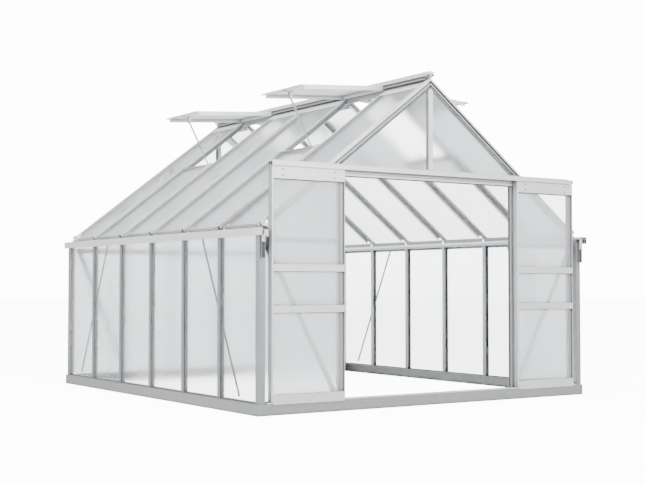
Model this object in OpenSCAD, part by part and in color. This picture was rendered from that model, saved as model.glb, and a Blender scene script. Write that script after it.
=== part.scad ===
// Walk-in gabled greenhouse: bolted aluminium bars, twin-wall sheets, telescoping double
// sliding doors on the front gable and four top-hung roof vents with push-through stays.
// X is across the house, the doors are on the -Y end, Z is up.
// The origin is on the ground at the centre of the base frame. Sizes are in millimetres.

/* [House] */
// Distance between neighbouring posts along a side wall
bay_pitch = 610; // [580:5:640]
// Number of bays along a side wall
bay_count = 6; // [6:1:7]
// Outer width of the base frame
base_w = 3324; // [3300:2:3360]
// Height of the base channel
base_h = 87; // [80:1:95]
// Height of the tops of the side posts
eave_h = 1345; // [1335:1:1360]
// Height of the point where the two roof slopes would meet
apex_h = 2640; // [2630:1:2650]

/* [Profiles] */
// Visible face width of a wall post
post_w = 48; // [44:1:52]
// Depth of a wall post
post_depth = 44; // [40:1:46]
// Face width of a roof glazing bar
roof_bar_w = 20; // [16:1:24]
// Height of a roof glazing bar above the sheets, below the vents
roof_bar_rise = 26; // [12:1:30]
// Depth of a roof glazing bar below the sheets
roof_bar_depth = 45; // [38:1:46]
// Thickness of the twin-wall sheet
sheet_t = 6; // [4:1:6]
// Width of the flat brace straps of the side walls
strap_w = 25; // [20:1:30]
// Width of the flat brace straps of the end walls
end_strap_w = 46; // [40:1:50]

/* [Doors] */
// Width of one door leaf
leaf_w = 658; // [650:1:664]
// Half of the width that stays open between the parked leaves
open_half = 890; // [880:1:894]
// Top of the door header
header_top = 1881; // [1876:1:1888]
// Bottom edge of the front leaf's kick plate
leaf_bottom = 79; // [77:1:80]

/* [Vents] */
// Distance from a vent's hinge axis to its outer edge
vent_len = 848; // [840:1:852]
// How far below level an open vent slopes, in degrees
vent_open_dip = 4.2; // [3:0.1:5]
// Distance from the hinge axis to the stay's pin, along the vent
stay_pin_x = 758; // [750:1:765]
// Depth of the stay's pin below the hinge axis, square to the vent
stay_pin_drop = 50; // [48:1:54]
// Angle seen from the hinge between a shut vent's stay pin and the stay's guide, in degrees
guide_lag = 6.05; // [6:0.05:7]

/* [Hidden] */
$fn = 48;

// Overall frame
frame_l = bay_pitch * bay_count;
end_y = frame_l / 2;
base_overhang = 14;
base_y = end_y + base_overhang;
base_x = base_w / 2;
wall_x = base_x - 16;
wall_t = 2.5;
touch = 0.5;
far = 4000;

// Base channel
base_flange = 60;
splice_l = 200;
plate_t = 3;
bolt_r = 4;
bolt_head_r = 6.4;
bolt_head_h = 3;
bolt_gap = 0.1;
bolt_edge = 23;
anchor_r = 5;
anchor_x = base_x - 30;
anchor_y = 1500;

// Walls
cap_t = 4;
rib_t = 2;
rib_w = 20;
web_t = 12;
flange_t = 4;
flange_w = 36;
sheet_gap = 1;
sill_half = 12;
sill_wall = 3;
sill_top = 12;
sheet_foot = 15;
sheet_x = wall_x - rib_t - cap_t - touch;
corner_w = 48;
corner_y = end_y + 10;
corner_depth = 60;
strap_t = 3;
strap_foot = 25;
strap_gap = 4;
strap_x = sheet_x - sheet_t - strap_gap;

// Eaves
beam_h = 20;
gutter_x = base_x + 2;
gutter_inner_x = wall_x - post_depth;
gutter_floor = eave_h + beam_h;
gutter_top = gutter_floor + 20;
gutter_lip_drop = 41;
gutter_y = end_y + 74;
gutter_cap_t = 3;
outlet_inset = 37;
outlet_x = gutter_x - 34;
collar_r = 13;
collar_bore_r = 10.5;
collar_len = 86;
spigot_r = 10;
spigot_len = 60;
pipe_r = 11;
pipe_bore_r = 8.5;
pipe_neck = 4;
pipe_len = 115;

// Roof slope, measured down the slope from the apex and square to it
foot_x = wall_x - 8;
foot_z = eave_h + 52;
pitch = atan((apex_h - foot_z) / foot_x);
slope_len = foot_x / cos(pitch);
notch_s = (gutter_inner_x - 4) / cos(pitch);
bar_cap_t = 6;
bar_web_t = 8;
bar_foot_w = 26;
bar_neck = 10;
bar_foot_inset = 36;
bar_foot_cut = 46;
bar_tall_s = 892;
band_s = 125;
band_low = 1;
band_high = 4;

// Ridge
ridge_half_w = 14;
bar_start = 30;
flashing_start = 22;
ridge_top = apex_h + 40;
ridge_foot = apex_h - 55;
cap_half_w = 34;
cap_top = ridge_top + 25;
cap_lip = 12;
crown_z = apex_h + 14;

// End walls
end_face_y = end_y - 34;
end_cap_t = 6;
end_sheet_y = end_face_y - end_cap_t - touch;
end_rail_h = 44;
end_rail_top = eave_h - 25;
back_rail_t = 22;
end_strap_foot = 60;
end_strap_head = 40;
end_strap_inset = 30;
jamb_x = 868;
mullion_w = 45;
back_bays = 6;
back_bay_w = 2 * (wall_x - corner_w) / back_bays;

// Gable rafters, with a groove in their outer face above the lip that holds the end sheets
rafter_y = end_face_y - touch;
rafter_w = 46;
rafter_top_t = 8;
rafter_web_t = 6;
rafter_web_y = rafter_y - 26;
rafter_depth = 60;
rafter_cut = 60;
rafter_lip_t = 5;
rafter_lip_h = 8;
rafter_bead_n = 28;
rafter_foot_w = 14;
rafter_cap_r = 22;
rafter_cap_t = 8;
ridge_y = rafter_y - rafter_w - touch;

// Door header and leaves, measured along Y from the front of the header
header_y = end_y + 31;
header_half = open_half + leaf_w + 1;
header_depth = 65;
header_lip = 34;
header_back = 74;
ledge_z = 28.5;
ledge_t = 2.5;
divider_y = 35;
front_slot = [15, 25];
rear_slot = [43, 53];
header_rise = 15;
leaf_depth = 24;
front_leaf_y = header_y - 10;
rear_leaf_y = front_leaf_y - leaf_depth - 3;
leaf_top = header_top - 35;
leaf_plate_t = 3;
leaf_sheet_t = 4;
stile_w = 13;
stile_back_w = 40;
top_plate_h = 94;
mid_rail_h = 53;
mid_rail_1 = 1063;
mid_rail_2 = 755;
kick_top = leaf_bottom + 72;
track_h = 10;
track_t = 1.5;
track_y0 = 14.5;
track_y1 = 64;
track_half = header_half + 37;
shoe_l = 60;
shoe_h = 14;
stem_t = 4;
hanger_inset = 115;
foot_gap = 4;
foot_lap = 20;
leaf_bolt_inset = 97;
leaf_bolt_drop = 24;
leaf_bolt_r = 6.5;
leaf_bolt_h = 1.5;
frame_bottom = base_h + track_h + 3;

// Vents
hinge_s = 35;
hinge_n = 27.5;
hinge_x = hinge_s * cos(pitch) + hinge_n * sin(pitch);
hinge_z = apex_h - hinge_s * sin(pitch) + hinge_n * cos(pitch);
vent_bays = [-(bay_count / 2 - 1.5), bay_count / 2 - 1.5];
vent_w = bay_pitch - 2;
vent_low = -20;
vent_high = 19;
vent_rail_t = 3;
vent_rail_w = 15;
vent_top_rail_w = 40;
edge_rail_w = 33;
edge_rail_h = 12;
edge_rail_over = 9;
bead_r = 5;
hook_bore_r = 5.4;
hook_r = 9;
fork_y = 12;
fork_t = 6;
fork_r = 14;
sill_s = 868;
sill_w = 24;
sill_t = 3;

// Stays: the stay's pin and its guide are equally far from the hinge axis, so the stay always
// turns half as far as the vent
pin_r = 4;
pin_bore_r = 4.05;
pin_reach = sqrt(pow(stay_pin_x, 2) + pow(stay_pin_drop, 2));
pin_dip = atan(stay_pin_drop / stay_pin_x);
guide_dip = pitch + pin_dip + guide_lag;
guide_x = hinge_x + pin_reach * cos(guide_dip);
guide_z = hinge_z - pin_reach * sin(guide_dip);
open_pin_dip = vent_open_dip + pin_dip;
pin_x = hinge_x + pin_reach * cos(open_pin_dip);
pin_z = hinge_z - pin_reach * sin(open_pin_dip);
stay_lean = (open_pin_dip + guide_dip) / 2;
eye_r = 10;
tube_r = 8.5;
tube_l = 275;
rod_r = 6;
rod_l = 585;
stop_r = 12;
guide_bore_r = 9.5;
guide_r = 15;
guide_l = 26;
cheek_in = 18;
cheek_t = 4;
cheek_w = 24;
gusset_h = 16;
slot_s = 816;
guide_s = guide_x * cos(pitch) + (apex_h - guide_z) * sin(pitch);
guide_n = guide_x * sin(pitch) - (apex_h - guide_z) * cos(pitch);
stay_foot_n = -roof_bar_depth - touch;

// ---------- placing and drawing helpers ----------

module both_sides() {
  children();
  mirror([1, 0, 0]) children();
}

module both_ends() {
  children();
  mirror([0, 1, 0]) children();
}

// Extrudes an outline drawn in Y and Z along X
module along_x(length) {
  rotate([90, 0, 90]) linear_extrude(length, center = true) children();
}

// Extrudes an outline drawn in X and Z along Y
module along_y(length) {
  rotate([90, 0, 0]) linear_extrude(length, center = true) children();
}

// An axis-aligned rectangle between two corners
module rect(x0, y0, x1, y1) {
  translate([x0, y0]) square([x1 - x0, y1 - y0]);
}

// An axis-aligned block between two corners
module block(a, b) {
  translate(a) cube(b - a);
}

// The right-hand roof slope: local X runs down the slope and local Z stands square to it
module on_slope() {
  translate([0, 0, apex_h]) rotate([0, pitch, 0]) children();
}

// Everything on the right of the house's centre plane
module right_half() {
  intersection() {
    children();
    block([touch, -far, -far], [far, far, far]);
  }
}

// Outline of a stepped T-shaped wall post, with its outer face at x = depth
module post_outline(depth, face_w) {
  rect(depth - rib_t, -rib_w / 2, depth, rib_w / 2);
  rect(depth - rib_t - cap_t, -face_w / 2, depth - rib_t, face_w / 2);
  rect(flange_t, -web_t / 2, depth - rib_t - cap_t, web_t / 2);
  rect(0, -flange_w / 2, flange_t, flange_w / 2);
}

// Height of the underside of the roof over a point of an end wall
function under_roof(x, drop) = apex_h - abs(x) * tan(pitch) - drop / cos(pitch);

// ---------- base ----------

module channel_outline(depth, height) {
  difference() {
    rect(-depth, 0, 0, height);
    rect(-depth - touch, wall_t, -wall_t, height - wall_t);
  }
  rect(-depth, height - 3 * wall_t, wall_t - depth, height);
}

// The rails meet in mitred corners, and each end rail has a seam in its middle
module base_rails() {
  inner_x = base_x - base_flange;
  inner_y = base_y - base_flange;
  color("gainsboro") both_sides() {
    intersection() {
      translate([base_x, 0, 0]) along_y(2 * base_y) channel_outline(base_flange, base_h);
      linear_extrude(base_h) difference() {
        polygon([[base_x, -base_y], [base_x, base_y], [inner_x, inner_y], [inner_x, -inner_y]]);
        for (y = [-anchor_y, 0, anchor_y]) translate([anchor_x, y]) circle(r = anchor_r);
      }
    }
    both_ends() intersection() {
      translate([base_x / 2, base_y, 0]) along_x(base_x) channel_outline(base_flange, base_h);
      linear_extrude(base_h) translate([-touch, 0])
        polygon([[2 * touch, base_y], [base_x, base_y], [inner_x, inner_y], [2 * touch, inner_y]]);
    }
  }
}

module base_joint_plates() {
  color("silver") {
    both_ends() {
      // splice plate behind the seam at the middle of each end
      block([-splice_l / 2, base_y - wall_t - plate_t, 15], [splice_l / 2, base_y - wall_t, base_h - 15]);
      // corner brackets inside the channel
      both_sides() {
        block([base_x - base_flange - 90, base_y - wall_t - plate_t, 12],
              [base_x - base_flange - 2, base_y - wall_t, base_h - 12]);
        block([base_x - base_flange - plate_t, base_y - 95, 12],
              [base_x - base_flange - touch, base_y - wall_t - plate_t, base_h - 12]);
      }
    }
  }
}

// A tapered bolt head standing on a face
module bolt_head() {
  translate([0, 0, bolt_gap]) cylinder(r1 = bolt_head_r, r2 = bolt_r, h = bolt_head_h);
}

module base_bolts() {
  color("dimgray") both_ends() both_sides() {
    for (z = [bolt_edge, base_h - bolt_edge]) {
      for (x = [20, 60, base_x - bolt_edge]) translate([x, base_y, z]) rotate([-90, 0, 0]) bolt_head();
      translate([base_x, base_y - bolt_edge, z]) rotate([0, 90, 0]) bolt_head();
    }
  }
}

module wall_sills() {
  color("gainsboro") {
    // under the side sheets, from post to post
    both_sides() for (i = [0:bay_count - 1]) {
      y0 = i == 0 ? corner_depth - corner_y : side_post_y(i) + rib_w;
      y1 = i == bay_count - 1 ? corner_y - corner_depth : side_post_y(i + 1) - rib_w;
      translate([sheet_x - sill_half, (y0 + y1) / 2, base_h])
        along_y(y1 - y0 - 4 * sheet_gap) sill_outline();
    }
    // under the fixed front sheets and the back sheets
    x0 = jamb_x + post_w;
    x1 = wall_x - corner_w;
    both_sides() translate([(x0 + x1) / 2, sill_half - end_sheet_y, base_h])
      along_x(x1 - x0 - 2 * sheet_gap) sill_outline();
    for (i = [0:back_bays - 1])
      translate([(i + 0.5 - back_bays / 2) * back_bay_w, end_sheet_y - sill_half, base_h])
        along_x(back_bay_w - post_w - 4 * sheet_gap) sill_outline();
  }
}

// A shallow box section that stands on the base channel
module sill_outline() {
  difference() {
    rect(-sill_half, touch, sill_half, sill_top);
    rect(sill_wall - sill_half, touch + sill_wall, sill_half - sill_wall, sill_top - sill_wall);
  }
}

// ---------- walls ----------

module corner_posts() {
  color("gainsboro") both_ends() both_sides() difference() {
    block([wall_x - corner_w, corner_y - corner_depth, base_h], [wall_x, corner_y, eave_h]);
    block([wall_x - corner_w + wall_t, corner_y - corner_depth + wall_t, base_h - 1],
          [wall_x - wall_t, corner_y - wall_t, eave_h + 1]);
  }
}

// Y of the middle of a side wall post
function side_post_y(i) = -end_y + i * bay_pitch;

module side_posts() {
  color("gainsboro") both_sides() for (i = [1:bay_count - 1]) difference() {
    translate([wall_x - post_depth, side_post_y(i), base_h])
      linear_extrude(eave_h - base_h) post_outline(post_depth, post_w);
    if (i == 1 || i == bay_count - 1) brace_at(i == 1 ? -1 : 1, 2, 4);
  }
}

// A side wall strap from the middle of the end bay's sill to the middle of the next bay's eave
module brace_at(end, grow, span) {
  post_at = end * (end_y - bay_pitch);
  z0 = base_h + strap_foot;
  z1 = eave_h - 1;
  rise = z1 - z0;
  lean = atan(bay_pitch / rise);
  reach = sqrt(rise * rise + bay_pitch * bay_pitch) - strap_w + span;
  translate([strap_x, post_at, (z0 + z1) / 2]) rotate([end * lean, 0, 0])
    block([-strap_t / 2 - grow / 2, -strap_w / 2 - grow, -reach / 2],
          [strap_t / 2 + grow / 2, strap_w / 2 + grow, reach / 2]);
}

module side_braces() {
  color("silver") both_sides() for (end = [-1, 1]) brace_at(end, 0, 0);
}

module end_wall_rails() {
  x0 = jamb_x + post_w + touch;
  x1 = wall_x - corner_w - touch;
  color("gainsboro") {
    both_sides()
      block([x0, -end_face_y, end_rail_top - end_rail_h], [x1, end_cap_t - end_face_y, end_rail_top]);
    // the back rail runs inside the posts
    block([-x1, end_face_y - post_depth - back_rail_t, end_rail_top - end_rail_h],
          [x1, end_face_y - post_depth - touch, end_rail_top]);
  }
}

// A flat strap in the XZ plane between two points, with its middle at depth y
module end_strap(x0, z0, x1, z1, y) {
  length = sqrt(pow(x1 - x0, 2) + pow(z1 - z0, 2));
  translate([(x0 + x1) / 2, y, (z0 + z1) / 2]) rotate([0, -atan2(z1 - z0, x1 - x0), 0])
    cube([length, strap_t, end_strap_w], center = true);
}

module end_wall_braces() {
  z0 = base_h + end_strap_foot;
  z1 = end_rail_top - end_strap_head;
  x1 = wall_x - corner_w - end_strap_inset;
  front_y = -end_sheet_y + sheet_t + strap_gap;
  back_y = end_face_y - post_depth - back_rail_t - strap_gap;
  color("silver") both_sides() {
    end_strap(jamb_x + post_w + end_strap_inset, z0, x1, z1, front_y);
    end_strap(2 * back_bay_w + end_strap_inset, z0, x1, z1, back_y);
  }
}

module door_jambs() {
  color("gainsboro") both_sides() difference() {
    translate([jamb_x + post_w / 2, -end_face_y + post_depth, base_h]) rotate([0, 0, -90])
      linear_extrude(apex_h - base_h) post_outline(post_depth, post_w);
    below_rafter();
  }
}

// Everything above the underside of the gable rafters' web
module below_rafter() {
  both_sides() on_slope() block([-far, -far, -rafter_depth - 1], [far, far, far]);
}

module gable_mullion() {
  color("gainsboro") difference() {
    translate([0, -end_face_y + post_depth, header_top + 16 + touch]) rotate([0, 0, -90])
      linear_extrude(apex_h - header_top) post_outline(post_depth, mullion_w);
    below_rafter();
  }
}

module back_posts() {
  color("gainsboro") for (i = [1:back_bays - 1]) difference() {
    translate([-wall_x + corner_w + i * back_bay_w, end_face_y - post_depth, base_h]) rotate([0, 0, 90])
      linear_extrude(apex_h - base_h) post_outline(post_depth, post_w);
    below_rafter();
  }
}

// ---------- eaves ----------

module eave_beams() {
  x1 = wall_x - 2;
  color("silver") both_sides() difference() {
    block([gutter_inner_x, -corner_y, eave_h], [x1, corner_y, gutter_floor]);
    block([gutter_inner_x + wall_t, -corner_y - 1, eave_h + wall_t],
          [x1 - wall_t, corner_y + 1, gutter_floor - wall_t]);
  }
}

module gutters() {
  low = eave_h - gutter_lip_drop / 2;
  color("whitesmoke") both_sides() difference() {
    translate([0, -gutter_cap_t / 2, 0]) along_y(2 * gutter_y - gutter_cap_t - touch) {
      rect(gutter_inner_x, gutter_floor, gutter_x, gutter_floor + wall_t);
      rect(gutter_x - wall_t, low, gutter_x, gutter_top);
      rect(gutter_inner_x, gutter_floor, gutter_inner_x + wall_t, gutter_top);
      rect(gutter_x - 3 * wall_t, low, gutter_x, low + wall_t);
    }
    translate([outlet_x, outlet_inset - gutter_y, gutter_floor - 1])
      cylinder(r = collar_bore_r, h = 2 * wall_t);
  }
}

module gutter_ends() {
  color("white") both_sides() {
    // collar under the front end, which holds the downpipe
    translate([outlet_x, -gutter_y + outlet_inset, gutter_floor - collar_len]) difference() {
      cylinder(r = collar_r, h = collar_len - touch);
      translate([0, 0, -1]) cylinder(r = collar_bore_r, h = collar_len + 2);
    }
    // cap on the back end
    block([gutter_inner_x, gutter_y - gutter_cap_t, gutter_floor], [gutter_x, gutter_y, gutter_top]);
  }
}

module downpipes() {
  top = gutter_floor - collar_len - pipe_neck;
  color("dimgray") both_sides() translate([outlet_x, -gutter_y + outlet_inset, top]) difference() {
    union() {
      translate([0, 0, -pipe_len]) cylinder(r = pipe_r, h = pipe_len);
      cylinder(r = spigot_r, h = spigot_len);
    }
    translate([0, 0, -pipe_len - 1]) cylinder(r = pipe_bore_r, h = pipe_len + spigot_len + 2);
  }
}

// ---------- roof ----------

module ridge_beam() {
  color("gainsboro") {
    along_y(2 * ridge_y) {
      rect(-ridge_half_w, ridge_foot, ridge_half_w, ridge_top);
      for (side = [-1, 1]) {
        // bead that the vents hook over, and its stalk
        translate([side * hinge_x, hinge_z]) circle(r = bead_r);
        rect(min(0, side * hinge_x), hinge_z - 1.5, max(0, side * hinge_x), hinge_z + 1.5);
      }
    }
    // crown that carries on over the gable rafters
    along_y(2 * rafter_y) rect(-ridge_half_w, crown_z, ridge_half_w, ridge_top);
  }
}

// Cover strips beside the ridge, above every bay that has no vent
module ridge_flashings() {
  last = bay_count - 1;
  half_bar = roof_bar_w / 2;
  color("gainsboro") both_sides() on_slope() for (i = [0:last]) if (i != 1 && i != last - 1) {
    y0 = i == 0 ? touch - ridge_y : side_post_y(i) - (i == 2 ? half_bar : 0);
    y1 = i == last ? ridge_y : side_post_y(i + 1) + (i == 0 || i == last - 2 ? half_bar : 0);
    block([flashing_start, y0, band_low], [band_s, y1 - touch, band_high]);
  }
}

module ridge_cap() {
  color("whitesmoke") along_y(2 * rafter_y + 6) {
    polygon([[-cap_half_w, ridge_top], [-cap_half_w, cap_top - 8], [-cap_half_w + 10, cap_top],
             [cap_half_w - 10, cap_top], [cap_half_w, cap_top - 8], [cap_half_w, ridge_top]]);
    rect(-cap_half_w, ridge_top - cap_lip, wall_t - cap_half_w, ridge_top);
    rect(cap_half_w - wall_t, ridge_top - cap_lip, cap_half_w, ridge_top);
  }
}

// Glazing bar of the right-hand slope, with its notch over the eave. Its tall part starts at tall_s.
module roof_bar(tall_s) {
  foot_0 = bar_start + bar_foot_inset;
  foot_1 = notch_s - bar_foot_cut;
  tall_neck = roof_bar_rise - bar_cap_t / 2;
  block([band_s + 1, -roof_bar_w / 2, 0], [slope_len, roof_bar_w / 2, bar_cap_t]);
  block([tall_s, -bar_web_t, bar_cap_t], [slope_len, bar_web_t, tall_neck]);
  block([tall_s, -roof_bar_w / 2, tall_neck], [slope_len, roof_bar_w / 2, roof_bar_rise]);
  block([bar_start, -bar_web_t / 2, -bar_neck], [slope_len, bar_web_t / 2, 0]);
  block([foot_0, -bar_web_t / 2, -roof_bar_depth], [foot_1, bar_web_t / 2, -bar_neck]);
  block([foot_0, -bar_foot_w / 2, -roof_bar_depth], [foot_1, bar_foot_w / 2, flange_t - roof_bar_depth]);
}

module roof_bars() {
  color("gainsboro") both_sides() on_slope() for (i = [1:bay_count - 1])
    translate([0, side_post_y(i), 0]) roof_bar(i == bay_count / 2 ? band_s + 1 : bar_tall_s);
}

module roof_bar_caps() {
  color("dimgray") both_sides() on_slope() for (i = [1:bay_count - 1])
    translate([0, side_post_y(i), 0]) block([slope_len + touch / 2, -roof_bar_w / 2, -bar_neck],
                                             [slope_len + bar_cap_t, roof_bar_w / 2, roof_bar_rise]);
}

// Front rafter of the right-hand slope
module rafter() {
  s0 = -rafter_cut;
  s1 = notch_s - rafter_cut;
  bead_low = -rafter_bead_n - rafter_lip_t;
  right_half() on_slope() {
    block([s0, -rafter_y, 0], [notch_s, rafter_w - rafter_y, rafter_top_t]);
    block([s0, -rafter_y, -rafter_lip_h], [notch_s, rafter_lip_t - rafter_y, 0]);
    block([s0, -rafter_web_y, -rafter_depth], [s1, rafter_web_t - rafter_web_y, 0]);
    block([s0, -rafter_y, bead_low], [s1, -rafter_web_y, -rafter_bead_n]);
    block([s0, -rafter_web_y - rafter_foot_w, -rafter_depth],
          [s1, -rafter_web_y, flange_t - rafter_depth]);
  }
}

module gable_rafters() {
  color("whitesmoke") both_ends() both_sides() rafter();
}

// Round plugs on the outer face of the rafters' feet
module rafter_caps() {
  color("white") both_ends() both_sides() on_slope()
    translate([notch_s - 4, -rafter_y - touch, -3]) rotate([90, 0, 0])
      cylinder(r = rafter_cap_r, h = rafter_cap_t);
}

// C-shaped bar across the foot of each vent's opening
module vent_sills() {
  color("silver") both_sides() on_slope() for (bay = vent_bays) translate([sill_s, bay * bay_pitch, 0])
    along_y(bay_pitch - bar_foot_w - 2 * touch) {
      rect(0, -roof_bar_depth, sill_t, band_high);
      rect(0, band_high - sill_t, sill_w, band_high);
      rect(0, -roof_bar_depth, sill_w, sill_t - roof_bar_depth);
    }
}

module stay_brackets() {
  half = cheek_in + cheek_t;
  color("silver") both_sides() on_slope() for (bay = vent_bays) translate([0, bay * bay_pitch, 0]) {
    block([slot_s, -half, stay_foot_n - plate_t], [sill_s + sill_w, half, stay_foot_n]);
    for (side = [-1, 1]) translate([0, side * (cheek_in + cheek_t / 2), 0]) along_y(cheek_t) difference() {
      union() {
        rect(guide_s - cheek_w / 2, guide_n, guide_s + cheek_w / 2, stay_foot_n);
        rect(guide_s - cheek_w / 2, stay_foot_n - gusset_h, sill_s + sill_w, stay_foot_n);
        translate([guide_s, guide_n]) circle(r = cheek_w / 2);
      }
      translate([guide_s, guide_n]) circle(r = pin_bore_r);
    }
  }
}

// ---------- sheets ----------

module side_panels() {
  top = eave_h - 2;
  color([0.9, 0.92, 0.93, 0.6]) both_sides() for (i = [0:bay_count - 1]) {
    // the end sheets stop at the corner posts
    y0 = i == 0 ? corner_depth - corner_y : side_post_y(i) + web_t / 2;
    y1 = i == bay_count - 1 ? corner_y - corner_depth : side_post_y(i + 1) - web_t / 2;
    block([sheet_x - sheet_t, y0 + sheet_gap, base_h + sheet_foot], [sheet_x, y1 - sheet_gap, top]);
  }
}

module roof_panels() {
  last = bay_count - 1;
  color([0.88, 0.9, 0.91, 0.6]) both_sides() on_slope() for (i = [0:last]) {
    vented = i == 1 || i == last - 1;
    y0 = i == 0 ? rafter_w - rafter_y : side_post_y(i) + bar_web_t / 2;
    y1 = i == last ? rafter_y - rafter_w : side_post_y(i + 1) - bar_web_t / 2;
    s0 = vented ? sill_s + sill_w + touch : bar_start;
    block([s0, y0 + sheet_gap, -sheet_t - touch], [slope_len - 4, y1 - sheet_gap, -touch]);
  }
}

// A sheet of an end wall between x0 and x1, from z0 up to the roof sheets
module end_sheet(x0, x1, z0) {
  drop = rafter_bead_n + rafter_lip_t + touch;
  polygon([[x0, z0], [x1, z0], [x1, under_roof(x1, drop)], [x0, under_roof(x0, drop)]]);
}

module front_panels() {
  x_in = jamb_x + post_w / 2;
  edge = web_t / 2 + sheet_gap;
  color([0.9, 0.92, 0.93, 0.6]) translate([0, sheet_t / 2 - end_sheet_y, 0]) both_sides() {
    // fixed sheet beside the doorway
    along_y(sheet_t) end_sheet(x_in + edge, wall_x - corner_w - sheet_gap, base_h + sheet_foot);
    // half of the gable above the doorway
    along_y(sheet_t) end_sheet(edge, x_in - edge, header_top - 12);
  }
}

module back_panels() {
  edge = web_t / 2 + sheet_gap;
  last = back_bays / 2 - 1;
  color([0.9, 0.92, 0.93, 0.6]) translate([0, end_sheet_y - sheet_t / 2, 0]) both_sides()
    for (i = [0:last]) {
      x1 = (i + 1) * back_bay_w - (i == last ? sheet_gap : edge);
      along_y(sheet_t) end_sheet(i * back_bay_w + edge, x1, base_h + sheet_foot);
    }
}

// ---------- door header, track and leaves ----------

// Outline in Y and Z, with Y measured inward from the header's front
module header_outline() {
  low = header_top - header_lip;
  ledge_top = header_top - ledge_z;
  rect(0, header_top - plate_t, header_depth, header_top);
  rect(0, low, wall_t, header_top);
  rect(divider_y - wall_t / 2, low, divider_y + wall_t / 2, header_top);
  rect(header_depth - plate_t, header_top - header_back, header_depth, header_top + header_rise);
  // ledges that the shoes slide on, with a slot under each channel
  rect(0, ledge_top - ledge_t, front_slot[0], ledge_top);
  rect(front_slot[1], ledge_top - ledge_t, divider_y, ledge_top);
  rect(divider_y, ledge_top - ledge_t, rear_slot[0], ledge_top);
  rect(rear_slot[1], ledge_top - ledge_t, header_depth, ledge_top);
}

module door_header() {
  color("gainsboro") translate([0, -header_y, 0]) along_x(2 * header_half) header_outline();
}

module track_outline() {
  rect(track_y0, touch, track_y1, touch + track_t);
  rect(track_y0, touch, track_y0 + track_t, track_h);
  rect(divider_y - track_t / 2, touch, divider_y + track_t / 2, track_h);
  rect(track_y1 - track_t, touch, track_y1, track_h);
}

module door_track() {
  color("whitesmoke") both_sides() translate([track_half / 2 + touch / 2, -header_y, base_h])
    along_x(track_half - touch) track_outline();
}

// A leaf's frame, with its lower left front corner at the origin of X and Y and real heights.
// The left stile's lip faces forward and the right stile's lip faces back, so leaves interlock.
module leaf_frame(bottom) {
  t = leaf_plate_t;
  // left stile
  block([0, 0, frame_bottom], [stile_w, t, leaf_top]);
  block([0, t, frame_bottom], [t, leaf_depth, leaf_top]);
  // right stile
  block([leaf_w - t, t, frame_bottom], [leaf_w, leaf_depth, leaf_top]);
  block([leaf_w - stile_back_w, leaf_depth - t, frame_bottom], [leaf_w, leaf_depth, leaf_top]);
  // top rail, two middle rails and kick plate
  leaf_rail(leaf_top - top_plate_h, leaf_top, 6);
  leaf_rail(mid_rail_1, mid_rail_1 + mid_rail_h, 10);
  leaf_rail(mid_rail_2, mid_rail_2 + mid_rail_h, 10);
  leaf_rail(bottom, kick_top, 6);
}

// A rail is a face plate with a return along its top
module leaf_rail(z0, z1, return_d) {
  x0 = stile_w + touch;
  x1 = leaf_w - leaf_plate_t - touch;
  block([x0, 0, z0], [x1, leaf_plate_t, z1]);
  block([x0, leaf_plate_t, z1 - 2], [x1, leaf_plate_t + return_d, z1]);
}

module leaf_panel() {
  y1 = leaf_depth - leaf_plate_t - touch;
  block([leaf_plate_t + sheet_gap, y1 - leaf_sheet_t - 1, frame_bottom + leaf_sheet_t],
        [leaf_w - stile_back_w - sheet_gap, y1 - 1, leaf_top - leaf_sheet_t]);
}

// Two nylon shoes that slide in the header, two that run in the track, and the bolts of the rails
module leaf_hangers(stem_y, shoe_y0, shoe_y1) {
  shoe_z = header_top - ledge_z + touch;
  y0 = stem_y - stem_t / 2;
  y1 = stem_y + stem_t / 2;
  for (x = [hanger_inset, leaf_w - hanger_inset]) {
    x0 = x - shoe_l / 2;
    x1 = x + shoe_l / 2;
    block([x0, y0, leaf_top + touch], [x1, y1, shoe_z]);
    block([x0, shoe_y0, shoe_z], [x1, shoe_y1, shoe_z + shoe_h]);
    block([x0, y0, base_h + foot_gap], [x1, y1, frame_bottom + foot_lap]);
  }
  for (x = [leaf_bolt_inset, leaf_w - leaf_bolt_inset])
    for (z = [leaf_top - leaf_bolt_drop, leaf_top - top_plate_h + leaf_bolt_drop])
      translate([x, -touch / 2, z]) rotate([90, 0, 0])
        cylinder(r1 = leaf_bolt_r, r2 = bolt_r, h = leaf_bolt_h);
}

module at_leaf(side, y) {
  translate([side > 0 ? open_half : -open_half - leaf_w, -y, 0]) children();
}

module front_leaf_frame(side) {
  color("gainsboro") at_leaf(side, front_leaf_y) leaf_frame(leaf_bottom);
}

module rear_leaf_frame(side) {
  color("gainsboro") at_leaf(side, rear_leaf_y) leaf_frame(frame_bottom);
}

module leaf_sheet(side, y) {
  color([0.9, 0.92, 0.93, 0.6]) at_leaf(side, y) leaf_panel();
}

module front_hangers(side) {
  color("dimgray") at_leaf(side, front_leaf_y) leaf_hangers(10, -6.5, 22.5);
}

module rear_hangers(side) {
  color("dimgray") at_leaf(side, rear_leaf_y) leaf_hangers(11, 0.5, 24.5);
}

// ---------- vents ----------

// Places a vent's local frame, drawn with its hinge axis at the origin and its sheet along +X
module at_vent(side, bay) {
  mirror([side < 0 ? 1 : 0, 0, 0]) translate([hinge_x, bay * bay_pitch, hinge_z])
    rotate([0, vent_open_dip, 0]) children();
}

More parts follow.
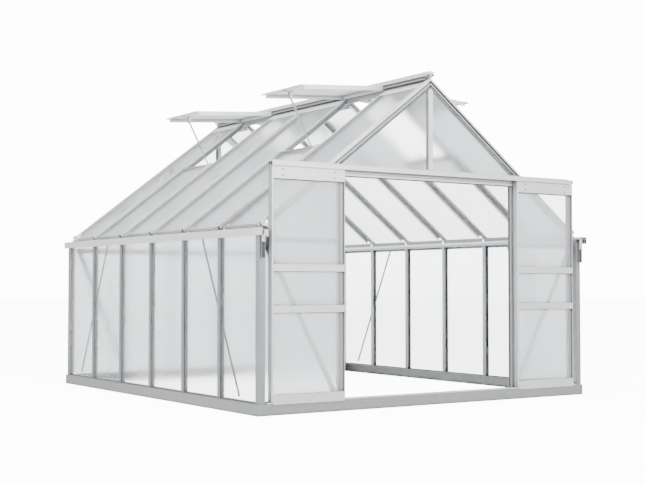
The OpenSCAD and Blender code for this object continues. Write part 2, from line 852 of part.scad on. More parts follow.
module vent_frame(side, bay) {
  half = vent_w / 2;
  rail_0 = hook_r + vent_rail_t;
  rail_1 = vent_len - edge_rail_w - touch;
  rail_z = vent_high - vent_rail_t;
  edge_half = half + edge_rail_over;
  color("whitesmoke") at_vent(side, bay) {
    // top rail with the hook that turns on the ridge's bead
    along_y(vent_w - 2 * vent_rail_w - 2 * touch) {
      difference() {
        circle(r = hook_r);
        circle(r = hook_bore_r);
        rotate(-vent_open_dip) polygon([[0, 0], [-3 * hook_r, 6], [-3 * hook_r, -26], [2, -26]]);
      }
      rect(hook_r - 1, vent_low, rail_0 - 1, vent_high);
      rect(hook_r, rail_z, hook_r + vent_top_rail_w, vent_high);
    }
    // side rails
    both_ends() {
      block([rail_0, half - vent_rail_t, vent_low], [rail_1, half, vent_high]);
      block([rail_0, half - vent_rail_w, rail_z], [rail_1, half - vent_rail_t, vent_high]);
    }
    // outer rail
    block([vent_len - edge_rail_w, -edge_half, vent_high - edge_rail_h], [vent_len, edge_half, vent_high]);
    vent_fork();
  }
}

// Fork under the vent's outer edge, with the pin that carries the stay
module vent_fork() {
  half = fork_y + fork_t / 2 + 2;
  block([stay_pin_x - fork_r - 6, -half, -4], [vent_len, half, vent_high - edge_rail_h - touch]);
  for (side = [-1, 1]) translate([0, side * fork_y, 0]) along_y(fork_t) {
    rect(stay_pin_x - fork_r, -stay_pin_drop, stay_pin_x + fork_r, -2);
    translate([stay_pin_x, -stay_pin_drop]) circle(r = fork_r);
  }
  translate([stay_pin_x, 0, -stay_pin_drop]) rotate([90, 0, 0])
    cylinder(r = pin_r, h = 2 * half, center = true);
}

module vent_panel(side, bay) {
  half = vent_w / 2 - vent_rail_t - sheet_gap;
  top = vent_high - vent_rail_t - touch;
  color([0.88, 0.9, 0.91, 0.6]) at_vent(side, bay)
    block([hook_r + 4, -half, top - sheet_t], [vent_len - edge_rail_w - touch, half, top]);
}

// Places a stay's local frame: its pin at the origin and its rod along -Z
module at_stay(side, bay, x, z) {
  mirror([side < 0 ? 1 : 0, 0, 0]) translate([x, bay * bay_pitch, z])
    rotate([0, stay_lean, 0]) children();
}

module vent_stay(side, bay) {
  color("silver") at_stay(side, bay, pin_x, pin_z) difference() {
    union() {
      rotate([90, 0, 0]) cylinder(r = eye_r, h = 16, center = true);
      translate([0, 0, -tube_l]) cylinder(r = tube_r, h = tube_l);
      translate([0, 0, -rod_l]) cylinder(r = rod_r, h = rod_l);
      translate([0, 0, -rod_l]) cylinder(r = stop_r, h = 8);
    }
    rotate([90, 0, 0]) cylinder(r = pin_bore_r, h = 40, center = true);
  }
}

module stay_guide(side, bay) {
  color("dimgray") at_stay(side, bay, guide_x, guide_z) difference() {
    union() {
      cylinder(r = guide_r, h = guide_l, center = true);
      rotate([90, 0, 0]) cylinder(r = pin_r, h = 2 * (cheek_in + cheek_t) + 2, center = true);
    }
    cylinder(r = guide_bore_r, h = 60, center = true);
  }
}

base_rails();
base_joint_plates();
base_bolts();
wall_sills();
corner_posts();
side_posts();
side_braces();
eave_beams();
gutters();
gutter_ends();
downpipes();
ridge_beam();
ridge_flashings();
ridge_cap();
roof_bars();
roof_bar_caps();
gable_rafters();
rafter_caps();
vent_sills();
stay_brackets();
door_header();
door_track();
door_jambs();
end_wall_rails();
end_wall_braces();
gable_mullion();
back_posts();
side_panels();
roof_panels();
front_panels();
back_panels();
front_leaf_frame(-1);  // left_front_leaf_frame
leaf_sheet(-1, front_leaf_y);  // left_front_leaf_panel
front_hangers(-1);  // left_front_leaf_hangers
rear_leaf_frame(-1);  // left_rear_leaf_frame
leaf_sheet(-1, rear_leaf_y);  // left_rear_leaf_panel
rear_hangers(-1);  // left_rear_leaf_hangers
front_leaf_frame(1);  // right_front_leaf_frame
leaf_sheet(1, front_leaf_y);  // right_front_leaf_panel
front_hangers(1);  // right_front_leaf_hangers
rear_leaf_frame(1);  // right_rear_leaf_frame
leaf_sheet(1, rear_leaf_y);  // right_rear_leaf_panel
rear_hangers(1);  // right_rear_leaf_hangers
vent_frame(-1, vent_bays[0]);  // vent_frame_front_left
vent_panel(-1, vent_bays[0]);  // vent_panel_front_left
vent_stay(-1, vent_bays[0]);  // vent_stay_front_left
stay_guide(-1, vent_bays[0]);  // stay_guide_front_left
vent_frame(1, vent_bays[0]);  // vent_frame_front_right
vent_panel(1, vent_bays[0]);  // vent_panel_front_right
vent_stay(1, vent_bays[0]);  // vent_stay_front_right
stay_guide(1, vent_bays[0]);  // stay_guide_front_right
vent_frame(-1, vent_bays[1]);  // vent_frame_back_left
vent_panel(-1, vent_bays[1]);  // vent_panel_back_left
vent_stay(-1, vent_bays[1]);  // vent_stay_back_left
stay_guide(-1, vent_bays[1]);  // stay_guide_back_left
vent_frame(1, vent_bays[1]);  // vent_frame_back_right
vent_panel(1, vent_bays[1]);  // vent_panel_back_right
vent_stay(1, vent_bays[1]);  // vent_stay_back_right
stay_guide(1, vent_bays[1]);  // stay_guide_back_right
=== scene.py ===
"""Looks of the walk-in greenhouse: materials, small fittings, floor, light and camera.

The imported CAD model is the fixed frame. X is across the house, the doors are on the -Y end and
Z is up, in metres. Small fittings that the CAD model leaves out are placed from its nodes' boxes.
"""

import math

import bmesh
import bpy
from mathutils import Matrix, Vector


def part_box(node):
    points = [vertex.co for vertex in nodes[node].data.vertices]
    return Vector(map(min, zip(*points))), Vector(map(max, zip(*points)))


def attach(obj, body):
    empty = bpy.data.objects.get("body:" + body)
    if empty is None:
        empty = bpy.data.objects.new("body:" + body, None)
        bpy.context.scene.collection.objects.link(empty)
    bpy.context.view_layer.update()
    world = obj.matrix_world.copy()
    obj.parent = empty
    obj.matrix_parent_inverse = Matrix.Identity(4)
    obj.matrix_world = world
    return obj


# ---------- frame ----------

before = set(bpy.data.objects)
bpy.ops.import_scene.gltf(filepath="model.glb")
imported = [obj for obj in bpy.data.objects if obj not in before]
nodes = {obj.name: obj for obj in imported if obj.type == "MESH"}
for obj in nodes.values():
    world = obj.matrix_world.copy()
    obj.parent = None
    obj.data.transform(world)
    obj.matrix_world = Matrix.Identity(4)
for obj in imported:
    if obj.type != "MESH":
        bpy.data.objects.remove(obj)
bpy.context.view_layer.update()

MM = 0.001
ROOT = "house"
SIDES = (-1, 1)
LEAVES = ("left_front", "left_rear", "right_front", "right_rear")
VENTS = ("front_left", "front_right", "back_left", "back_right")

# ---------- camera ----------

CAMERA_PLACE = (-6.1941, -9.4715, 0.9491)
CAMERA_PITCH = 2.107
CAMERA_YAW = 33.763
CAMERA_LENS = 67.56
CAMERA_SENSOR = 36.0
CAMERA_REACH = 200.0

camera_data = bpy.data.cameras.new("camera")
camera_data.sensor_width = CAMERA_SENSOR
camera_data.lens = CAMERA_LENS
camera_data.clip_end = CAMERA_REACH
camera = bpy.data.objects.new("camera", camera_data)
camera.location = CAMERA_PLACE
camera.rotation_euler = (math.radians(90 + CAMERA_PITCH), 0.0, math.radians(-CAMERA_YAW))
bpy.context.scene.collection.objects.link(camera)
bpy.context.scene.camera = camera


# ---------- node helpers ----------

PATTERN_LOW, PATTERN_HIGH = 0.3, 0.7  # the middle range, where most of a noise pattern lies


class Graph:
    """A material's node tree, with short calls for the nodes that are used here."""

    def __init__(self, name):
        self.material = bpy.data.materials.new(name)
        self.material.use_nodes = True
        self.tree = self.material.node_tree
        self.shader = self.tree.nodes["Principled BSDF"]

    def node(self, kind, **settings):
        made = self.tree.nodes.new(kind)
        for key, value in settings.items():
            setattr(made, key, value)
        return made

    def link(self, source, target):
        self.tree.links.new(source, target)

    def place(self, scale=(1.0, 1.0, 1.0)):
        """Object coordinates multiplied by scale, for patterns that are longer one way."""
        coordinates = self.node("ShaderNodeTexCoord")
        mapping = self.node("ShaderNodeMapping")
        mapping.inputs["Scale"].default_value = scale
        self.link(coordinates.outputs["Object"], mapping.inputs["Vector"])
        return mapping.outputs["Vector"]

    def noise(self, place, scale, detail=3.0, roughness=0.5):
        noise = self.node("ShaderNodeTexNoise")
        noise.inputs["Scale"].default_value = scale
        noise.inputs["Detail"].default_value = detail
        noise.inputs["Roughness"].default_value = roughness
        self.link(place, noise.inputs["Vector"])
        return noise.outputs["Fac"]

    def spread(self, value, low, high):
        """Maps a pattern's middle range to low ... high."""
        span = self.node("ShaderNodeMapRange")
        span.inputs["From Min"].default_value = PATTERN_LOW
        span.inputs["From Max"].default_value = PATTERN_HIGH
        span.inputs["To Min"].default_value = low
        span.inputs["To Max"].default_value = high
        self.link(value, span.inputs["Value"])
        return span.outputs["Result"]

    def ramp(self, value, dark, light):
        """Blends between two colours as a pattern goes through its middle range."""
        ramp = self.node("ShaderNodeValToRGB")
        first, last = ramp.color_ramp.elements
        first.position, last.position = PATTERN_LOW, PATTERN_HIGH
        first.color, last.color = (*dark, 1.0), (*light, 1.0)
        self.link(value, ramp.inputs["Fac"])
        return ramp.outputs["Color"]

    def bump(self, height, distance, strength):
        bump = self.node("ShaderNodeBump")
        bump.inputs["Distance"].default_value = distance
        bump.inputs["Strength"].default_value = strength
        self.link(height, bump.inputs["Height"])
        self.link(bump.outputs["Normal"], self.shader.inputs["Normal"])

    def set(self, **values):
        for key, value in values.items():
            self.shader.inputs[key.replace("_", " ")].default_value = value


# ---------- materials ----------

# how a pattern's coordinates are multiplied so that it runs along X, Y or Z, or no way at all
ALONG = {
    "x": (0.6, 40.0, 40.0),
    "y": (40.0, 0.6, 40.0),
    "z": (40.0, 40.0, 0.6),
    "any": (6.0, 6.0, 6.0),
}
DIE_SCALE = 6.0
CLOUD_SCALE = 2.2
CLOUD_SHARE = 0.45
ALUMINIUM_METALLIC = 0.35
ALUMINIUM_ROUGHNESS = (0.34, 0.48)

# painted shade: ambient occlusion darkens the aluminium's colour in grooves and corners
CORNER_REACH = 0.035  # how far a neighbouring face may be for a corner to get painted shade
CORNER_DEEP = 0.25  # openness at which a corner is darkest
CORNER_OPEN = 0.85  # openness from which the metal gets no painted shade
CORNER_SHADE = 0.3  # how bright the metal stays in the deepest corners

ROOF_PITCH = math.radians(37.193)
APEX_Z = 2.640  # where the outer faces of the two slopes' sheets would meet
# painted shade: a band over the roof bars' webs, square to the slope, is darkened
WEB_MIDDLE = -0.024  # middle of the roof bars' web, square to the slope
WEB_HALF = 0.0165
WEB_SHADE = 0.25

FLUTE_PITCH = 0.0105
WAVE_LENGTH = 2 * math.pi / 20  # length of one wave of a wave texture at scale 1
FLUTE_ALPHA = 0.03  # how much more and less a rib and a flute let through
HAZE_SCALE = 1.6
HAZE = 0.04
SHEET_IOR = 1.08  # low, because both faces of a thin sheet together hardly bend the light

PLASTIC_GRAIN_SCALE = 900.0
PLASTIC_CLOUD_SCALE = 12.0
PLASTIC_HAZE = 0.05
SPANGLE_SCALE = 160.0
STEEL_CLOUD_SCALE = 60.0
STEEL_ROUGHNESS = (0.30, 0.45)
STEEL_METALLIC = 0.9


def shaded_web(g, colour):
    """Painted shade: darkens what lies between the roof sheets and the bars' feet, a band square
    to the slope.
    """
    place = g.node("ShaderNodeTexCoord")
    both = g.node("ShaderNodeVectorMath", operation="ABSOLUTE")
    g.link(place.outputs["Object"], both.inputs[0])
    height = g.node("ShaderNodeVectorMath", operation="DOT_PRODUCT")
    height.inputs[1].default_value = (math.sin(ROOF_PITCH), 0.0, math.cos(ROOF_PITCH))
    g.link(both.outputs["Vector"], height.inputs[0])
    web = g.node("ShaderNodeMath", operation="COMPARE")
    web.inputs[1].default_value = APEX_Z * math.cos(ROOF_PITCH) + WEB_MIDDLE
    web.inputs[2].default_value = WEB_HALF
    g.link(height.outputs["Value"], web.inputs[0])
    mix = g.node("ShaderNodeMix", data_type="RGBA", blend_type="MULTIPLY")
    mix.inputs["B"].default_value = (WEB_SHADE, WEB_SHADE, WEB_SHADE, 1.0)
    g.link(web.outputs["Value"], mix.inputs["Factor"])
    g.link(colour, mix.inputs["A"])
    return mix.outputs["Result"]


def painted_corner_shade(g, colour):
    """Painted shade: darkens a colour in grooves and corners, by how closed in they are."""
    corners = g.node("ShaderNodeAmbientOcclusion", samples=8)
    corners.inputs["Distance"].default_value = CORNER_REACH
    shade = g.node("ShaderNodeMapRange")
    shade.inputs["From Min"].default_value = CORNER_DEEP
    shade.inputs["From Max"].default_value = CORNER_OPEN
    shade.inputs["To Min"].default_value = CORNER_SHADE
    g.link(corners.outputs["AO"], shade.inputs["Value"])
    corner_shaded = g.node("ShaderNodeMix", data_type="RGBA", blend_type="MULTIPLY")
    corner_shaded.inputs["Factor"].default_value = 1.0
    g.link(colour, corner_shaded.inputs["A"])
    g.link(shade.outputs["Result"], corner_shaded.inputs["B"])
    return corner_shaded.outputs["Result"]


def aluminium(name, along, dark, light, paint_web_shade=False):
    """Anodised extrusion: long faint die lines, a satin sheen, and painted shade in grooves and
    corners.
    """
    g = Graph(name)
    die_lines = g.noise(g.place(ALONG[along]), DIE_SCALE, detail=4.0, roughness=0.6)
    clouds = g.noise(g.place(), CLOUD_SCALE, detail=2.0)
    mix = g.node("ShaderNodeMix", data_type="FLOAT")
    mix.inputs["Factor"].default_value = CLOUD_SHARE
    g.link(die_lines, mix.inputs["A"])
    g.link(clouds, mix.inputs["B"])
    # the colour gets painted shade in grooves and corners
    colour = painted_corner_shade(g, g.ramp(mix.outputs["Result"], dark, light))
    # painted shade on the roof bars' webs
    if paint_web_shade:
        colour = shaded_web(g, colour)
    g.link(colour, g.shader.inputs["Base Color"])
    g.link(g.spread(die_lines, *ALUMINIUM_ROUGHNESS), g.shader.inputs["Roughness"])
    g.bump(die_lines, distance=0.12 * MM, strength=0.6)
    g.set(Metallic=ALUMINIUM_METALLIC)
    return g.material


def twin_wall(name, across, dark, light, clear, blurred, blur):
    """Twin-wall sheet: a milky skin over fine flutes.

    across is the axis that crosses the flutes. clear is the share of light that goes straight
    through one face. blurred is the share of the rest that goes through softened, by the
    roughness blur, and what is left over is thrown back as a milky white.
    """
    g = Graph(name)
    place = g.place()
    wave = g.node("ShaderNodeTexWave", wave_type="BANDS", bands_direction=across)
    wave.inputs["Scale"].default_value = WAVE_LENGTH / FLUTE_PITCH
    wave.inputs["Distortion"].default_value = 0.0
    g.link(place, wave.inputs["Vector"])
    ribs = wave.outputs["Fac"]
    haze = g.noise(place, HAZE_SCALE, detail=2.0)
    g.link(g.ramp(ribs, dark, light), g.shader.inputs["Base Color"])
    g.link(g.spread(haze, blur - HAZE, blur + HAZE), g.shader.inputs["Roughness"])
    alpha = g.node("ShaderNodeMapRange")
    alpha.inputs["To Min"].default_value = 1 - FLUTE_ALPHA - clear
    alpha.inputs["To Max"].default_value = 1 + FLUTE_ALPHA - clear
    g.link(ribs, alpha.inputs["Value"])
    g.link(alpha.outputs["Result"], g.shader.inputs["Alpha"])
    g.bump(ribs, distance=0.4 * MM, strength=0.35)
    g.set(Transmission_Weight=blurred, IOR=SHEET_IOR)
    return g.material


def moulded_plastic(name, dark, light, roughness):
    """Injection-moulded plastic with a fine grain."""
    g = Graph(name)
    place = g.place()
    grain = g.noise(place, PLASTIC_GRAIN_SCALE, detail=2.0)
    clouds = g.noise(place, PLASTIC_CLOUD_SCALE)
    g.link(g.ramp(clouds, dark, light), g.shader.inputs["Base Color"])
    rough = g.spread(clouds, roughness - PLASTIC_HAZE, roughness + PLASTIC_HAZE)
    g.link(rough, g.shader.inputs["Roughness"])
    g.bump(grain, distance=0.08 * MM, strength=0.5)
    return g.material


def plated_steel(name, dark, light):
    """Zinc plate with a soft spangle."""
    g = Graph(name)
    place = g.place()
    spangle = g.node("ShaderNodeTexVoronoi")
    spangle.inputs["Scale"].default_value = SPANGLE_SCALE
    g.link(place, spangle.inputs["Vector"])
    g.link(g.ramp(spangle.outputs["Distance"], dark, light), g.shader.inputs["Base Color"])
    clouds = g.noise(place, STEEL_CLOUD_SCALE)
    g.link(g.spread(clouds, *STEEL_ROUGHNESS), g.shader.inputs["Roughness"])
    g.set(Metallic=STEEL_METALLIC)
    return g.material


# the darkest and lightest colour of each kind of metal and sheet; the frame is all one pale
# aluminium, and the middle, base, post and inner tones are darker copies of it, painted shade for
# parts that lie in shade
PALE = ((0.72, 0.73, 0.74), (0.80, 0.81, 0.82))
HALF_SHADE = ((0.34, 0.35, 0.36), (0.42, 0.43, 0.44))
BASE_SHADE = ((0.30, 0.31, 0.32), (0.38, 0.39, 0.40))
POST_SHADE = ((0.28, 0.29, 0.30), (0.36, 0.37, 0.38))
INNER_SHADE = ((0.16, 0.165, 0.17), (0.24, 0.245, 0.25))
LEAF_SHEET = ((0.76, 0.77, 0.78), (0.84, 0.85, 0.86))
END_SHEET = ((0.43, 0.44, 0.45), (0.51, 0.52, 0.53))
SIDE_SHEET = ((0.42, 0.43, 0.44), (0.50, 0.51, 0.52))

pale = {along: aluminium("aluminium_pale_" + along, along, *PALE) for along in ALONG}
# painted shade: darker copies of the pale aluminium
middle = {along: aluminium("aluminium_" + along, along, *HALF_SHADE) for along in ALONG}
base = aluminium("aluminium_base_shaded", "any", *BASE_SHADE)
post = aluminium("aluminium_post_shaded", "z", *POST_SHADE)
inner_shaded = aluminium("aluminium_inner_shaded", "any", *INNER_SHADE)
roof_bar = aluminium("aluminium_roof_bar", "any", *PALE, paint_web_shade=True)
side_sheet = twin_wall("twin_wall_side", "Y", *SIDE_SHEET, clear=0.08, blurred=0.88, blur=0.26)
end_sheet = twin_wall("twin_wall_end", "X", *END_SHEET, clear=0.06, blurred=0.85, blur=0.4)
leaf_sheet = twin_wall("twin_wall_leaf", "X", *LEAF_SHEET, clear=0.08, blurred=0.80, blur=0.2)
roof_sheet = twin_wall("twin_wall_roof", "Y", *SIDE_SHEET, clear=0.05, blurred=0.75, blur=0.3)
white_plastic = moulded_plastic("white_plastic", (0.74, 0.74, 0.73), (0.82, 0.82, 0.81), 0.4)
dark_plastic = moulded_plastic("dark_plastic", (0.030, 0.031, 0.033), (0.048, 0.049, 0.052), 0.45)
steel = plated_steel("plated_steel", (0.30, 0.31, 0.32), (0.46, 0.47, 0.48))

# beams, rails, posts, sills, braces, jambs and stays take the darker aluminium copies as painted
# shade
LOOKS = {
    "base_rails": base, "base_joint_plates": steel, "base_bolts": steel, "wall_sills": inner_shaded,
    "corner_posts": post, "side_posts": post, "side_braces": inner_shaded, "eave_beams": middle["y"],
    "gutters": pale["y"], "gutter_ends": white_plastic, "downpipes": dark_plastic,
    "ridge_beam": middle["y"], "ridge_flashings": pale["y"], "ridge_cap": pale["y"],
    "roof_bars": roof_bar, "roof_bar_caps": dark_plastic, "gable_rafters": pale["any"],
    "rafter_caps": white_plastic, "vent_sills": middle["y"], "stay_brackets": steel,
    "door_header": pale["x"], "door_track": pale["x"], "door_jambs": middle["z"],
    "end_wall_rails": middle["x"], "end_wall_braces": inner_shaded, "gable_mullion": pale["z"],
    "back_posts": middle["z"], "side_panels": side_sheet, "roof_panels": roof_sheet,
    "front_panels": end_sheet, "back_panels": end_sheet,
}
for leaf in LEAVES:
    LOOKS[leaf + "_leaf_frame"] = pale["z"]
    LOOKS[leaf + "_leaf_panel"] = leaf_sheet
    LOOKS[leaf + "_leaf_hangers"] = dark_plastic
for vent in VENTS:
    LOOKS["vent_frame_" + vent] = pale["y"]
    LOOKS["vent_panel_" + vent] = roof_sheet
    LOOKS["vent_stay_" + vent] = middle["any"]
    LOOKS["stay_guide_" + vent] = dark_plastic

for name, material in LOOKS.items():
    mesh = nodes[name].data
    mesh.materials.clear()
    mesh.materials.append(material)


# ---------- mesh helpers ----------

def block(x, y, z):
    """Two opposite corners of a box, from its range along each axis."""
    return tuple(zip(x, y, z))


def mirror_x(boxes):
    """The same boxes on both sides of the centre plane."""
    return [((side * a[0], *a[1:]), (side * b[0], *b[1:])) for a, b in boxes for side in SIDES]


def join_boxes(name, boxes, material, bevel, body=ROOT):
    """One piece of bevelled boxes, each a pair of opposite corners, that rides on a body."""
    made = bmesh.new()
    for corners in boxes:
        low, high = Vector(map(min, *corners)), Vector(map(max, *corners))
        size = high - low
        place = Matrix.Translation((low + high) / 2) @ Matrix.Diagonal((*size, 1.0))
        part = bmesh.ops.create_cube(made, size=1.0, matrix=place)
        edges = list({edge for corner in part["verts"] for edge in corner.link_edges})
        width = min(bevel, min(size) * 0.3)
        bmesh.ops.bevel(made, geom=edges, offset=width, segments=2, affect="EDGES")
    mesh = bpy.data.meshes.new(name)
    made.to_mesh(mesh)
    made.free()
    mesh.materials.append(material)
    piece = bpy.data.objects.new(name, mesh)
    bpy.context.scene.collection.objects.link(piece)
    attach(piece, body)


def dark_piece(name, boxes, bevel, body=ROOT):
    join_boxes(name, boxes, dark_plastic, bevel, body)


# ---------- dark gaskets beside the wall posts, which also paint their shadow lines ---

GASKET_WIDTH = 3.5 * MM
GASKET_THICK = 2.0 * MM
GASKET_SHORT = 4.0 * MM  # how far a gasket stops from the sheet's ends
POST_HALF = 24 * MM
POST_GAP = 0.3 * MM
SKIN_GAP = 0.1 * MM  # between a gasket and the sheet's face

sheet_low, sheet_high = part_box("side_panels")
post_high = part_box("side_posts")[1]
bay = (post_high.y - POST_HALF) / 2
post_lines = [bay * k for k in (-2, -1, 0, 1, 2)]

# dark strips on both sides of each post: glazing gaskets, and also painted shadow lines along the
# posts
gasket_and_shadow_strips = []
for line in post_lines:
    for edge in SIDES:
        start = line + edge * (POST_HALF + POST_GAP)
        gasket_and_shadow_strips.append(block(
            x=(sheet_high.x + SKIN_GAP, sheet_high.x + GASKET_THICK),
            y=(start, start + edge * GASKET_WIDTH),
            z=(sheet_low.z + GASKET_SHORT, sheet_high.z - GASKET_SHORT),
        ))
dark_piece("side_gaskets_and_shadow_lines", mirror_x(gasket_and_shadow_strips), bevel=0.4 * MM)

# ---------- ends of the header, gutters and rafters ----------

header_low, header_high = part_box("door_header")
PLUG = 3 * MM
plug = block(
    x=(header_high.x - 2 * PLUG, header_high.x - PLUG),
    y=(header_low.y + 4 * MM, header_high.y - 5 * MM),
    z=(header_high.z - 46 * MM, header_high.z - 18.5 * MM),
)
dark_piece("header_end_plugs", mirror_x([plug]), bevel=0.6 * MM)

gutter_low, gutter_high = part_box("gutters")
GUTTER_INNER_X = 1.602
GUTTER_WALL = 3 * MM
END_BLOCK_WIDTH = 13 * MM  # of the dark block behind the gutter's outer wall
end_block_x = gutter_high.x - GUTTER_WALL
end_block_y = (gutter_low.y + 1 * MM, gutter_low.y + 4 * MM)
# dark blocks across the gutters' front ends, where the ends look dark
gutter_end_blocks = [
    block(
        x=(GUTTER_INNER_X + GUTTER_WALL, end_block_x),
        y=end_block_y,
        z=(gutter_high.z - 17 * MM, gutter_high.z - 1 * MM),
    ),
    block(
        x=(end_block_x - END_BLOCK_WIDTH, end_block_x),
        y=end_block_y,
        z=(gutter_low.z + GUTTER_WALL, gutter_high.z - 21 * MM),
    ),
]
dark_piece("gutter_end_dark_blocks", mirror_x(gutter_end_blocks), bevel=0.6 * MM)

CLIP_LENGTH = 95 * MM
clip_start = gutter_low.y + 6 * MM
clip = block(
    x=(gutter_high.x + 0.2 * MM, gutter_high.x + 1.8 * MM),
    y=(clip_start, clip_start + CLIP_LENGTH),
    z=(gutter_low.z + 8 * MM, gutter_low.z + 36 * MM),
)
join_boxes("gutter_clips", mirror_x([clip]), white_plastic, bevel=0.6 * MM)

# dark blocks in the gap between the gutters and the feet of the gable rafters
GAP_BLOCK_X = (1.556, 1.624)
rafter_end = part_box("rafter_caps")[1].y
gap_blocks = []
for end in SIDES:
    gap_blocks.append(block(
        x=GAP_BLOCK_X,
        y=(end * (rafter_end - 20 * MM), end * (rafter_end - 9 * MM)),
        z=(gutter_high.z + 1 * MM, gutter_high.z + 14 * MM),
    ))
dark_piece("eave_gap_blocks", mirror_x(gap_blocks), bevel=2 * MM)

# ---------- strips that close the eaves and the header ----------

STRIP_X = (1.5960, 1.6000)
STRIP_Z = (1.3840, 1.4165)
STRIP_END = 0.082  # how far inside the corner posts' lines the strips at the ends count from
BAR_CLEAR = 10 * MM  # how far a strip stops from the line of a bar
strip_lines = [STRIP_END - 3 * bay, *post_lines, 3 * bay - STRIP_END]
eave_strips = []
for start, stop in zip(strip_lines, strip_lines[1:]):
    eave_strips.append(block(x=STRIP_X, y=(start + BAR_CLEAR, stop - BAR_CLEAR), z=STRIP_Z))
# the strips take the darkest shaded copy of the aluminium: painted shade
join_boxes("eave_strips", mirror_x(eave_strips), inner_shaded, bevel=0.5 * MM)

# a brush along the header's foot, and a thin dark seam above it
BRUSH_X = (-0.885, 0.885)
header_foot = header_high.z - 89 * MM
header_brushes = [
    block(
        x=BRUSH_X,
        y=(header_high.y - 2.6 * MM, header_high.y - 0.4 * MM),
        z=(header_foot - 10 * MM, header_foot - 0.2 * MM),
    ),
    block(
        x=BRUSH_X,
        y=(header_high.y - 3.4 * MM, header_high.y - 3.1 * MM),
        z=(header_foot + 18 * MM, header_foot + 21 * MM),
    ),
]
dark_piece("header_brushes", header_brushes, bevel=0.3 * MM)

# ---------- seals and painted-shade liners of the door leaves ---

LEAF_DEPTH = 24 * MM
TOP_PLATE = 94 * MM
RAIL_FEET = (1.063, 0.755)
STILE_BACK = 40 * MM  # width of the right stile's back flange
PLATE = 3 * MM  # thickness of the leaf's bars
SEAL_FOOT = 0.104
SHADE_LINER_FOOT = 0.103


def leaf_fittings(leaf):
    """Dark seals in front of a leaf's sheet, and liners of painted shade on its back flange and
    its left edge.
    """
    body = leaf + "_leaf"
    low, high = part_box(body + "_frame")
    front = high.y - LEAF_DEPTH
    stile = high.x - STILE_BACK
    rail_x = (low.x + 14 * MM, high.x - 4 * MM)
    rail_y = (front + 0.6 * MM, front + 2.6 * MM)
    back_y = (front + 18 * MM, front + 20.7 * MM)
    back_z = (SEAL_FOOT, high.z - 10 * MM)

    # under the top plate and both rails, then down both edges of the right stile's back flange
    top_foot = high.z - TOP_PLATE
    seals = [block(rail_x, rail_y, (top_foot - 7 * MM, top_foot - 0.2 * MM))]
    seals += [block(rail_x, rail_y, (foot - 4 * MM, foot - 0.2 * MM)) for foot in RAIL_FEET]
    seals.append(block((stile + 0.2 * MM, stile + 4 * MM), back_y, back_z))
    seals.append(block((high.x - PLATE - 4.5 * MM, high.x - PLATE - 0.5 * MM), back_y, back_z))
    dark_piece(leaf + "_seals", seals, bevel=0.4 * MM, body=body)

    # painted shade: thin sheets in a shaded copy of the aluminium over the right stile's back
    # flange and the outer side of the left stile
    shade_liners = [
        block(
            x=(stile + 5 * MM, high.x - PLATE - 5 * MM),
            y=(front + 19.5 * MM, front + 20.7 * MM),
            z=(SHADE_LINER_FOOT, high.z - 9 * MM),
        ),
        block(
            x=(low.x - 0.4 * MM, low.x - 0.1 * MM),
            y=(front + 3.5 * MM, front + 23.5 * MM),
            z=(SHADE_LINER_FOOT - 1 * MM, high.z - 1 * MM),
        ),
    ]
    join_boxes(leaf + "_shade_liners", shade_liners, middle["z"], bevel=0.1 * MM, body=body)


for leaf in LEAVES:
    leaf_fittings(leaf)

# ---------- floor ----------

FLOOR_RADIUS = 90.0
FLOOR_DROP = 0.5 * MM
FLOOR_GLOW = 11.0
FLOOR_TONES = ((0.90, 0.90, 0.90), (0.93, 0.93, 0.93))
FLOOR_CLOUD_SCALE = 0.6


def studio_floor():
    """A white floor that glows as brightly as the backdrop and lights nothing."""
    g = Graph("studio_floor")
    clouds = g.noise(g.place(), FLOOR_CLOUD_SCALE)
    g.link(g.ramp(clouds, *FLOOR_TONES), g.shader.inputs["Base Color"])
    g.set(Roughness=0.7, Emission_Color=(1.0, 1.0, 1.0, 1.0), Emission_Strength=FLOOR_GLOW)
    mesh = bpy.data.meshes.new("studio_floor")
    disc = bmesh.new()
    bmesh.ops.create_circle(disc, cap_ends=True, segments=96, radius=FLOOR_RADIUS)
    disc.to_mesh(mesh)
    disc.free()
    mesh.materials.append(g.material)
    floor = bpy.data.objects.new("studio_floor", mesh)
    floor.location.z = -FLOOR_DROP
    bpy.context.scene.collection.objects.link(floor)
    floor.visible_diffuse = False
    floor.visible_glossy = False


studio_floor()

# ---------- light ----------

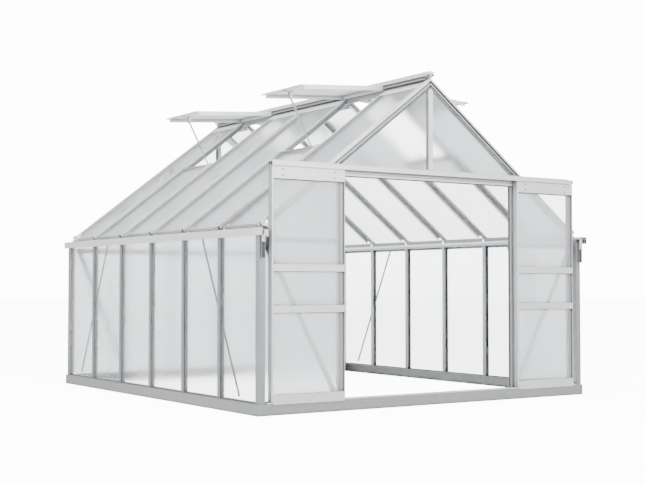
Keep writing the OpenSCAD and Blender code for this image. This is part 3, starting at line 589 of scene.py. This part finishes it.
FILL = 1.0
BACKDROP = 14.0
FIRST_BOUNCE = 0.5  # a ray that has bounced off a dull surface has a diffuse depth above this


def studio_world():
    """An even white surround: a soft fill, and bright where the backdrop itself is seen.

    It is seen directly, or through sheets that the ray has passed without a diffuse bounce.
    """
    world = bpy.data.worlds.new("studio")
    world.use_nodes = True
    tree = world.node_tree
    background = tree.nodes["Background"]
    background.inputs["Color"].default_value = (1.0, 1.0, 1.0, 1.0)
    ray = tree.nodes.new("ShaderNodeLightPath")
    direct, through, seen = (tree.nodes.new("ShaderNodeMath") for _ in range(3))
    direct.operation, through.operation, seen.operation = "LESS_THAN", "MULTIPLY", "MAXIMUM"
    direct.inputs[1].default_value = FIRST_BOUNCE
    strength = tree.nodes.new("ShaderNodeMapRange")
    strength.inputs["To Min"].default_value = FILL
    strength.inputs["To Max"].default_value = BACKDROP
    tree.links.new(ray.outputs["Diffuse Depth"], direct.inputs[0])
    tree.links.new(ray.outputs["Is Transmission Ray"], through.inputs[0])
    tree.links.new(direct.outputs["Value"], through.inputs[1])
    tree.links.new(ray.outputs["Is Camera Ray"], seen.inputs[0])
    tree.links.new(through.outputs["Value"], seen.inputs[1])
    tree.links.new(seen.outputs["Value"], strength.inputs["Value"])
    tree.links.new(strength.outputs["Result"], background.inputs["Strength"])
    bpy.context.scene.world = world


def softbox(name, place, aim, size, power):
    """A rectangular area light at place, pointing at aim."""
    data = bpy.data.lights.new(name, "AREA")
    data.shape = "RECTANGLE"
    data.size, data.size_y = size
    data.energy = power
    lamp = bpy.data.objects.new(name, data)
    lamp.location = place
    lamp.rotation_euler = (Vector(aim) - Vector(place)).to_track_quat("-Z", "Y").to_euler()
    bpy.context.scene.collection.objects.link(lamp)


studio_world()
softbox("key", place=(3.0, -11.0, 5.0), aim=(0.0, -1.0, 1.2), size=(6.0, 6.0), power=1250.0)
softbox("left", place=(-9.0, -3.0, 3.0), aim=(0.0, 0.0, 1.0), size=(5.0, 4.0), power=900.0)
softbox("top", place=(-2.0, 0.0, 9.0), aim=(0.0, 0.0, 1.5), size=(8.0, 8.0), power=900.0)
